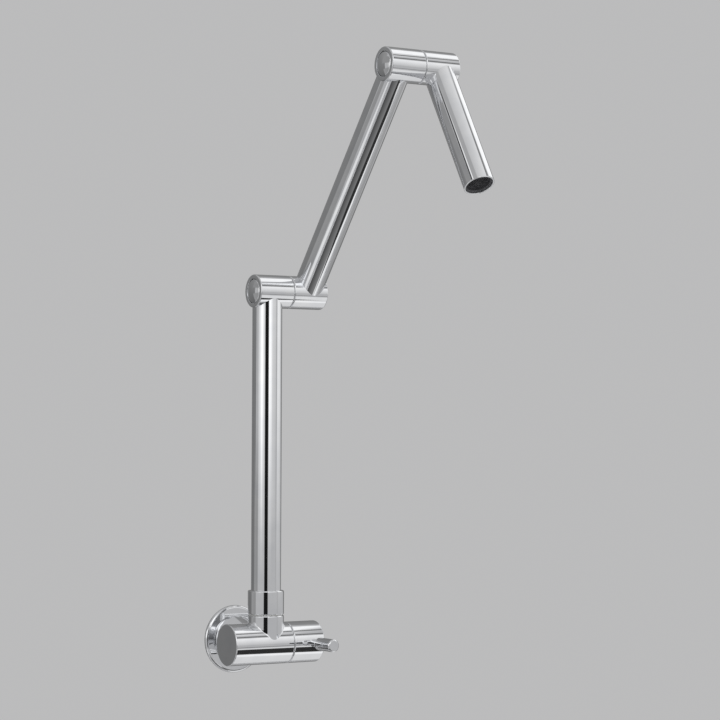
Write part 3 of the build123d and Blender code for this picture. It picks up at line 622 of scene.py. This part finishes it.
def makeHub(hub):
    radius, start, end, spline = layout["barrelRadius"], hub["start"], hub["end"], hub["splineBore"]
    inside = radius - hub["thickness"]
    outline = [
        (hub["splineEnd"], spline), (hub["cavity"], spline), (hub["cavity"], inside), (start, inside),
        (start, radius), *((ring, radius) for ring in hub["nearScrew"]), (end, radius),
    ]
    rounded = [(start, radius, *hub["seamEdge"]), (end, radius, *hub["endEdge"])]
    piece = turnShape("handleHub", outline, hub["sides"], rounded=rounded)
    standOn(piece, barrelCentre, alongX)
    screw = grubScrews["hub"]
    place = barrelCentre + Vector((screw["x"], 0, 0))
    cutAway(piece, screwHole(screw, place, downwards, radius))
    finishPiece(piece, "handle", ["handle_hub"])
    return makeGrubScrew("hubGrubScrew", screw, place, downwards, "handle", "hub_grub_screw")


makeHub(handleHub)


# reach, neck, flare and stud are measured forwards from the barrel's axis
leverPin = {
    "x": 33.13, "reach": 43.5, "radius": 4.65, "bevel": 0.9, "sides": 128,
    "neckStart": 14.6, "neckFootRadius": 2.95, "neckRadius": 2.7, "neckEnd": 20.35, "flareEnd": 23.35,
    "studStart": 7.25, "studRadius": 2.5,
    "neckBlend": (0.8, 5), "flareBlend": (0.9, 5), "bevelEdge": (0.12, 2),
}


def makeLever(pin):
    radius, reach, bevel = pin["radius"], pin["reach"], pin["bevel"]
    outline = [
        (pin["studStart"], pin["studRadius"]), (pin["neckStart"], pin["studRadius"]),
        (pin["neckStart"], pin["neckFootRadius"]), (pin["neckEnd"], pin["neckRadius"]),
        (pin["flareEnd"], radius), (reach - bevel, radius), (reach, radius - bevel),
    ]
    rounded = [
        (pin["neckEnd"], pin["neckRadius"], *pin["neckBlend"]),
        (pin["flareEnd"], radius, *pin["flareBlend"]),
        (reach - bevel, radius, *pin["bevelEdge"]), (reach, radius - bevel, *pin["bevelEdge"]),
    ]
    piece = turnShape("leverPin", outline, pin["sides"], rounded=rounded)
    standOn(piece, barrelCentre + Vector((pin["x"], 0, 0)), forwards)
    return finishPiece(piece, "handle", ["lever_pin"])


makeLever(leverPin)


swivelCollar = {
    "bottom": 21.55, "top": 39.1, "tubeSeat": 32.9, "bore": 10.05, "tubeFit": 11.03, "sides": 176,
    "edge": (0.85, 4), "lipEdge": (0.15, 2),
    "nearScrew": (27.0, 31.7),
}


def makeCollar(collar):
    radius, bottom, top = layout["bossRadius"], collar["bottom"], collar["top"]
    bore, fit, seat = collar["bore"], collar["tubeFit"], collar["tubeSeat"]
    outline = [
        (bottom, bore), (bottom, radius), *((ring, radius) for ring in collar["nearScrew"]),
        (top, radius), (top, fit), (seat, fit), (seat, bore),
    ]
    rounded = [
        (bottom, radius, *collar["edge"]), (top, radius, *collar["edge"]), (top, fit, *collar["lipEdge"]),
    ]
    piece = turnShape("swivelCollar", outline, collar["sides"], closed=True, rounded=rounded)
    standOn(piece, riserFoot, upwards)
    screw = grubScrews["collar"]
    place = riserFoot + Vector((0, 0, screw["z"]))
    cutAway(piece, screwHole(screw, place, backwards, radius))
    finishPiece(piece, "riser", ["swivel_collar"])
    return makeGrubScrew("collarGrubScrew", screw, place, backwards, "riser", "collar_grub_screw")


makeCollar(swivelCollar)


tubeEnds = {
    "sides": 144,
    "saddleStart": 3.0,  # short of the knuckle's axis, before the end is fitted to the knuckle
    "saddleGap": 0.01,
    "mouthEdges": ((0.4, 4), (0.4, 3)),  # outside and inside
}


def makeTube(name, length, nearEnd, farEnd):
    # an end is square, a rounded mouth, or a saddle cut to fit the knuckle that it is soldered to
    inner, outer = layout["tubeBore"], layout["tubeRadius"]
    start = tubeEnds["saddleStart"] if nearEnd == "saddle" else 0
    end = length - tubeEnds["saddleStart"] if farEnd == "saddle" else length
    outline = [(start, inner), (start, outer), (end, outer), (end, inner)]
    rounded = []
    if farEnd == "mouth":
        rounded = [(end, radius, *edge) for radius, edge in zip((outer, inner), tubeEnds["mouthEdges"])]
    piece = turnShape(name, outline, tubeEnds["sides"], closed=True, rounded=rounded)
    fit = layout["knuckleRadius"] + tubeEnds["saddleGap"]
    if nearEnd == "saddle":
        restOnCylinder(piece, 0, fit, [onRing(start, inner), onRing(start, outer)])
    if farEnd == "saddle":
        restOnCylinder(piece, length, fit, [onRing(end, inner), onRing(end, outer)], towards=-1)
    return piece


riserLength = layout["elbowHeight"] - swivelCollar["tubeSeat"]
riserSeat = riserFoot + Vector((0, 0, swivelCollar["tubeSeat"]))
for name, length, ends, origin, turn, body, node in (
    ("riserTube", riserLength, ("square", "saddle"), riserSeat, upwards, "riser", "riser_tube"),
    ("armTube", layout["armLength"], ("saddle", "saddle"), armStart, alongArm, "arm", "arm_tube"),
    (
        "spoutTube", layout["spoutLength"], ("saddle", "mouth"), spoutStart, alongSpout,
        "spout", "spout_tube",
    ),
):
    piece = makeTube(name, length, *ends)
    standOn(piece, origin, turn)
    finishPiece(piece, body, [node])


# start, end and seat are measured along the spout from the wrist's axis
aeratorHousing = {
    "start": 91.4, "end": 100.4, "seat": 96.8, "radius": 9.77, "bore": 7.17, "mouth": 8.57,
    "sides": 128, "endEdge": (0.25, 2), "mouthEdge": (0.35, 3),
}


def makeAeratorHousing(housing):
    start, end, seat = housing["start"], housing["end"], housing["seat"]
    radius, bore, mouth = housing["radius"], housing["bore"], housing["mouth"]
    outline = [(start, bore), (start, radius), (end, radius), (end, mouth), (seat, mouth), (seat, bore)]
    rounded = [(end, radius, *housing["endEdge"]), (end, mouth, *housing["mouthEdge"])]
    piece = turnShape("aeratorHousing", outline, housing["sides"], closed=True, rounded=rounded)
    standOn(piece, spoutStart, alongSpout)
    return finishPiece(piece, "spout", ["aerator_housing"], "aerator_plastic")


makeAeratorHousing(aeratorHousing)


aeratorScreen = {
    "thickness": 1.2, "hole": 7.5, "gap": 0.03, "sides": 128, "holeEdge": (0.2, 2),
    "cells": 11, "bar": 0.42,
    "latticeHeight": 0.45,  # as a share of the thickness
    "latticeOverlap": 0.1,  # how far cells may start inside the rim and still be left out
}


def makeAeratorScreen(screen):
    # a lattice of fine bars inside a plain rim
    seat, hole = aeratorHousing["seat"], screen["hole"]
    top, outer = seat + screen["thickness"], aeratorHousing["mouth"] - screen["gap"]
    outline = [(seat, hole), (seat, outer), (top, outer), (top, hole)]
    rim = turnShape(
        "aeratorScreen", outline, screen["sides"], closed=True, rounded=[(top, hole, *screen["holeEdge"])]
    )
    deselectAll()
    bpy.ops.mesh.primitive_grid_add(
        x_subdivisions=screen["cells"], y_subdivisions=screen["cells"], size=2 * hole * mm,
        location=(0, 0, (seat + screen["latticeHeight"] * screen["thickness"]) * mm),
    )
    lattice = bpy.context.object
    makeActive(lattice)
    bpy.ops.object.transform_apply(location=True, rotation=True, scale=True)
    bpy.ops.object.mode_set(mode="EDIT")
    bpy.ops.mesh.select_mode(type="FACE")
    mesh = bmesh.from_edit_mesh(lattice.data)
    for face in mesh.faces:
        fromAxis = face.calc_center_median().xy.length / mm
        face.select_set(fromAxis > hole - screen["latticeOverlap"])
    bmesh.update_edit_mesh(lattice.data)
    bpy.ops.mesh.delete(type="FACE")
    bpy.ops.object.mode_set(mode="OBJECT")
    applyModifier(lattice, "WIREFRAME", thickness=screen["bar"] * mm, use_replace=True, use_boundary=True)
    piece = joinShapes([rim, lattice])
    standOn(piece, spoutStart, alongSpout)
    return finishPiece(piece, "spout", ["aerator_screen"], "aerator_plastic")


makeAeratorScreen(aeratorScreen)


# places along a knuckle are measured from its left end
knuckleShape = {
    "leftEnd": -12.1,  # from the lower tube's axis
    "lowerFace": 28.65, "upperFace": 28.95, "end": 57.6, "sides": 176,
    "seamEdge": (0.85, 4), "leftEdge": (0.9, 5), "rightEdge": (0.9, 6), "recessEdge": (0.25, 3),
    "capRecess": 9.1, "capFloor": 3.4, "nutRecess": 7.3, "nutFloor": 5.4, "endBore": 4.65,
    "chamberStart": 8.2, "chamberEnd": 16.9, "chamberRadius": 8.75, "journalBore": 7.0,
    "headBore": 7.93, "endWall": 3.5,
}


def placeInKnuckle(piece, centre, body, node):
    standOn(piece, centre + Vector((knuckleShape["leftEnd"], 0, 0)), alongX)
    return finishPiece(piece, body, [node])


def makeLowerHousing(name, knuckle):
    radius, face = layout["knuckleRadius"], knuckle["lowerFace"]
    journal, chamber = knuckle["journalBore"], knuckle["chamberRadius"]
    outline = [
        (face, journal), (face, radius), (0, radius),
        (0, knuckle["capRecess"]), (knuckle["capFloor"], knuckle["capRecess"]),
        (knuckle["capFloor"], knuckle["nutRecess"]), (knuckle["nutFloor"], knuckle["nutRecess"]),
        (knuckle["nutFloor"], knuckle["endBore"]), (knuckle["chamberStart"], knuckle["endBore"]),
        (knuckle["chamberStart"], chamber), (knuckle["chamberEnd"], chamber),
        (knuckle["chamberEnd"], journal),
    ]
    rounded = [
        (0, radius, *knuckle["leftEdge"]), (0, knuckle["capRecess"], *knuckle["recessEdge"]),
        (face, radius, *knuckle["seamEdge"]),
    ]
    return turnShape(name, outline, knuckle["sides"], closed=True, rounded=rounded)


def makeUpperHousing(name, knuckle):
    radius, face, end = layout["knuckleRadius"], knuckle["upperFace"], knuckle["end"]
    outline = [
        (end - knuckle["endWall"], knuckle["headBore"]), (face, knuckle["headBore"]),
        (face, radius), (end, radius),
    ]
    rounded = [(face, radius, *knuckle["seamEdge"]), (end, radius, *knuckle["rightEdge"])]
    return turnShape(name, outline, knuckle["sides"], rounded=rounded)


knuckleCap = {
    "radius": 8.85, "inset": 0.3, "thickness": 3.1, "crown": 2.1, "sides": 128, "edge": (0.6, 5),
    "rings": 9,
    "middle": 0.015,  # the innermost ring, as a share of the radius
}


def makeCap(name, cap):
    # a domed button that stands out of the knuckle's end: its rings lie on a sphere
    full, crown, inset = cap["radius"], cap["crown"], cap["inset"]
    sphere = (full ** 2 + crown ** 2) / (2 * crown)
    outline = [(inset + cap["thickness"], full)]
    for ring in range(cap["rings"] + 1):
        radius = full * (1 - ring / cap["rings"] * (1 - cap["middle"]))
        rise = math.sqrt(sphere ** 2 - radius ** 2) - (sphere - crown)
        outline.append((inset - rise, radius))
    return turnShape(name, outline, cap["sides"], rounded=[(inset, full, *cap["edge"])])


for joint, centre, lowerBody, upperBody in (
    ("elbow", elbowCentre, "riser", "arm"),
    ("wrist", wristCentre, "arm", "spout"),
):
    lowerHousing = makeLowerHousing(joint + "LowerHousing", knuckleShape)
    placeInKnuckle(lowerHousing, centre, lowerBody, joint + "_lower_housing")
    upperHousing = makeUpperHousing(joint + "UpperHousing", knuckleShape)
    placeInKnuckle(upperHousing, centre, upperBody, joint + "_upper_housing")
    placeInKnuckle(makeCap(joint + "Cap", knuckleCap), centre, lowerBody, joint + "_cap")


studioCentre = Vector((0.023, -0.11, 0.2))

# cards seen only in the chrome: azimuth from the front towards the right, elevation, distance in
# metres, span across and up in degrees, levels at the left, right, bottom and top, and how
# much of the width and of the height melts away at the edges
cards = {
    "leftOuterBox": (-90, 7, 2.4, 44, 30, (0.36, 1.3, 1.0, 1.1), (0.06, 0.32)),
    "leftInnerBox": (-58, 7, 2.3, 32, 30, (1.4, 0.45, 1.0, 1.1), (0.1, 0.32)),
    "gapStrip": (-32.5, -6, 2.2, 30, 40, (0.01, 0.01, 1.0, 1.0), (0.14, 0.1)),
    "frontUpperBox": (-33, 34, 2.35, 46, 30, (1.3, 1.3, 1.0, 1.0), (0.1, 0.15)),
    "rightBox": (-3, 9, 2.3, 28, 34, (1.3, 0.9, 1.0, 1.1), (0.08, 0.3)),
    "frontFill": (29, 12, 2.4, 42, 36, (0.8, 0.62, 0.8, 1.5), (0.04, 0.08)),
    "darkBar": (36, 34.5, 2.4, 50, 6, (0.14, 0.14, 1.0, 1.0), (0.05, 0.25)),
    "upperBar": (54, 50, 1.85, 26, 6, (0.24, 0.24, 1.0, 1.0), (0.1, 0.25)),
    "slimFlag": (48, 0, 2.2, 6, 60, (0.42, 0.42, 1.0, 1.0), (0.25, 0.1)),
    "sideBox": (76, 10, 2.3, 42, 40, (1.05, 0.95, 0.7, 1.3), (0.08, 0.3)),
    "sideUpperBox": (100, 35, 2.2, 40, 28, (1.1, 1.2, 1.0, 1.0), (0.1, 0.15)),
    "rightBack": (144, 8, 2.4, 68, 96, (0.24, 0.18, 0.6, 1.4), (0.06, 0.08)),
    "topBox": (86, 59, 1.9, 28, 12, (1.1, 1.1, 1.0, 1.0), (0.1, 0.25)),
    "topFront": (-6, 64, 2.2, 76, 26, (0.5, 0.85, 1.0, 1.0), (0.1, 0.15)),
    "highLeft": (-72, 46, 2.2, 44, 24, (0.42, 0.42, 1.0, 1.0), (0.1, 0.15)),
    "highStrip": (-85, 37, 2.1, 6, 14, (1.0, 1.0, 1.0, 1.0), (0.2, 0.2)),
    "highBack": (-119, 24, 2.2, 44, 24, (0.3, 0.3, 1.0, 1.0), (0.1, 0.15)),
    "highLine": (-94, 34, 2.05, 8.5, 18, (0.05, 0.05, 1.0, 1.0), (0.3, 0.2)),
    "leftBack": (-152, 4, 2.5, 62, 96, (0.18, 0.23, 0.3, 1.7), (0.06, 0.08)),
    "leftLow": (-117, -17, 2.2, 40, 34, (0.34, 0.3, 1.0, 1.0), (0.12, 0.15)),
    "lowStrip": (-84, -39, 1.8, 24, 15, (0.85, 0.85, 1.0, 1.0), (0.2, 0.15)),
    "lowFlag": (-8, -63, 1.6, 62, 34, (0.05, 0.3, 1.0, 1.0), (0.08, 0.1)),
    "lowBounce": (86, -61, 1.5, 60, 30, (0.8, 0.72, 1.0, 1.0), (0.1, 0.15)),
    "lowCorner": (56, -54, 1.4, 16, 14, (1.0, 1.0, 1.0, 1.0), (0.1, 0.2)),
    "lowRightSide": (114, -29, 2.0, 66, 28, (0.42, 0.22, 1.0, 1.0), (0.1, 0.15)),
    "lowBar": (28, -17.8, 1.85, 34, 3.5, (0.2, 0.2, 1.0, 1.0), (0.1, 0.3)),
    "lowFill": (36, -34, 1.6, 44, 24, (0.8, 0.8, 1.0, 1.0), (0.1, 0.15)),
    "nearFlag": (36.5, -51.5, 0.605, 24, 23, (0.03, 0.03, 1.0, 1.0), (0.1, 0.1)),
}


def cardMaterial(name, width, height, levels, soft):
    material = bpy.data.materials.new(name)
    material.use_nodes = True
    tree = material.node_tree
    tree.nodes.clear()
    place = addNode(tree, "ShaderNodeTexCoord")
    axes = addNode(tree, "ShaderNodeSeparateXYZ")
    tree.links.new(place.outputs["Object"], axes.inputs["Vector"])
    sides = (("X", width / 2, levels[:2], soft[0]), ("Y", height / 2, levels[2:], soft[1]))
    slopes, masks = [], []
    for axis, half, ends, edge in sides:
        slopes.append(spread(tree, axes.outputs[axis], ends, (-half, half)))
        away = addNode(tree, "ShaderNodeMath", operation="ABSOLUTE")
        tree.links.new(axes.outputs[axis], away.inputs[0])
        fading = (half * (1 - 2 * edge), half)
        masks.append(spread(tree, away.outputs["Value"], (1.0, 0.0), fading, "SMOOTHSTEP"))
    glow = addNode(tree, "ShaderNodeEmission")
    tree.links.new(mathNode(tree, "MULTIPLY", *slopes), glow.inputs["Strength"])

    # the edges melt into what lies behind
    clear = addNode(tree, "ShaderNodeBsdfTransparent")
    mask = mathNode(tree, "MULTIPLY", *masks)
    surface = mixShaders(tree, mask, clear.outputs["BSDF"], glow.outputs["Emission"])
    output = addNode(tree, "ShaderNodeOutputMaterial")
    tree.links.new(surface, output.inputs["Surface"])
    return material


def addCard(name, azimuth, elevation, distance, across, up, levels, soft):
    around, rise = math.radians(azimuth), math.radians(elevation)
    away = Vector((math.sin(around) * math.cos(rise), -math.cos(around) * math.cos(rise), math.sin(rise)))
    width, height = (2 * distance * math.tan(math.radians(span / 2)) for span in (across, up))
    deselectAll()
    bpy.ops.mesh.primitive_plane_add(size=1)
    card = bpy.context.object
    card.name = name
    card.data.transform(Matrix.Diagonal((width, height, 1, 1)))
    # local X points to the right as seen from the object, and local Y points up
    right = Vector((math.cos(around), math.sin(around), 0))
    upward = away.cross(right)
    turn = Matrix((right, upward, right.cross(upward))).transposed().to_4x4()
    card.matrix_world = Matrix.Translation(studioCentre + away * distance) @ turn
    card.data.materials.append(cardMaterial(name, width, height, levels, soft))
    card.visible_camera = False
    card.visible_shadow = False
    card.visible_diffuse = False
    return card


for name, values in cards.items():
    addCard(name, *values)


floorLook = {
    "height": -1.7, "radius": 5.0, "sides": 96,
    "fade": (1.6, 4.6),  # metres from its middle
    "colour": (0.78, 0.78, 0.785), "roughness": 0.8, "specular": 0.1,
}


def makeFloor(look):
    deselectAll()
    bpy.ops.mesh.primitive_circle_add(
        vertices=look["sides"], radius=look["radius"], fill_type="NGON", location=(0, 0, look["height"])
    )
    floor = bpy.context.object
    floor.name = "floor"
    material, tree, shader = newMaterial("paleFloor")
    shader.inputs["Base Color"].default_value = (*look["colour"], 1)
    shader.inputs["Roughness"].default_value = look["roughness"]
    shader.inputs["Specular IOR Level"].default_value = look["specular"]
    place = addNode(tree, "ShaderNodeTexCoord")
    reach = addNode(tree, "ShaderNodeVectorMath", operation="LENGTH")
    tree.links.new(place.outputs["Object"], reach.inputs[0])

    # the floor thins out with distance, and isn't there at all from below
    thin = spread(tree, reach.outputs["Value"], (0.0, 1.0), look["fade"], "SMOOTHSTEP")
    side = addNode(tree, "ShaderNodeNewGeometry")
    gone = mathNode(tree, "MAXIMUM", thin, side.outputs["Backfacing"])
    clear = addNode(tree, "ShaderNodeBsdfTransparent")
    surface = mixShaders(tree, gone, shader.outputs["BSDF"], clear.outputs["BSDF"])
    tree.links.new(surface, tree.nodes["Material Output"].inputs["Surface"])
    floor.data.materials.append(material)


makeFloor(floorLook)

roomLight = {"colour": (0.5, 0.5, 0.504), "strength": 1.0}
world = bpy.data.worlds.new("paleRoom")
world.use_nodes = True
background = world.node_tree.nodes["Background"]
background.inputs["Color"].default_value = (*roomLight["colour"], 1)
background.inputs["Strength"].default_value = roomLight["strength"]
bpy.context.scene.world = world

# a soft key lamp that shapes the matt pieces and throws the floor's shadow
keyLamp = {"place": (-0.9, -1.3, 1.9), "size": 1.2, "power": 18.0}
lampData = bpy.data.lights.new("keyLamp", "AREA")
lampData.size = keyLamp["size"]
lampData.energy = keyLamp["power"]
lamp = bpy.data.objects.new("keyLamp", lampData)
bpy.context.scene.collection.objects.link(lamp)
lamp.location = keyLamp["place"]
lamp.rotation_euler = (studioCentre - lamp.location).to_track_quat("-Z", "Y").to_euler()
lamp.visible_camera = False
lamp.visible_glossy = False

# the camera stands at the photograph's place
camera = {
    "place": (-0.89939, -1.59156, 0.15894),
    "yaw": 32.418, "pitch": 1.598, "roll": 0.224,
    "lens": 121.11, "sensor": 36.0, "farthest": 60.0,
}
cameraData = bpy.data.cameras.new("camera")
cameraData.lens = camera["lens"]
cameraData.sensor_width = camera["sensor"]
cameraData.clip_end = camera["farthest"]
eye = bpy.data.objects.new("camera", cameraData)
bpy.context.scene.collection.objects.link(eye)
eye.matrix_world = (
    Matrix.Translation(camera["place"])
    @ Matrix.Rotation(math.radians(-camera["yaw"]), 4, "Z")
    @ Matrix.Rotation(math.radians(90 + camera["pitch"]), 4, "X")
    @ Matrix.Rotation(math.radians(camera["roll"]), 4, "Z")
)
bpy.context.scene.camera = eye
bpy.context.scene.view_settings.view_transform = "Standard"
print("studio and camera ready")
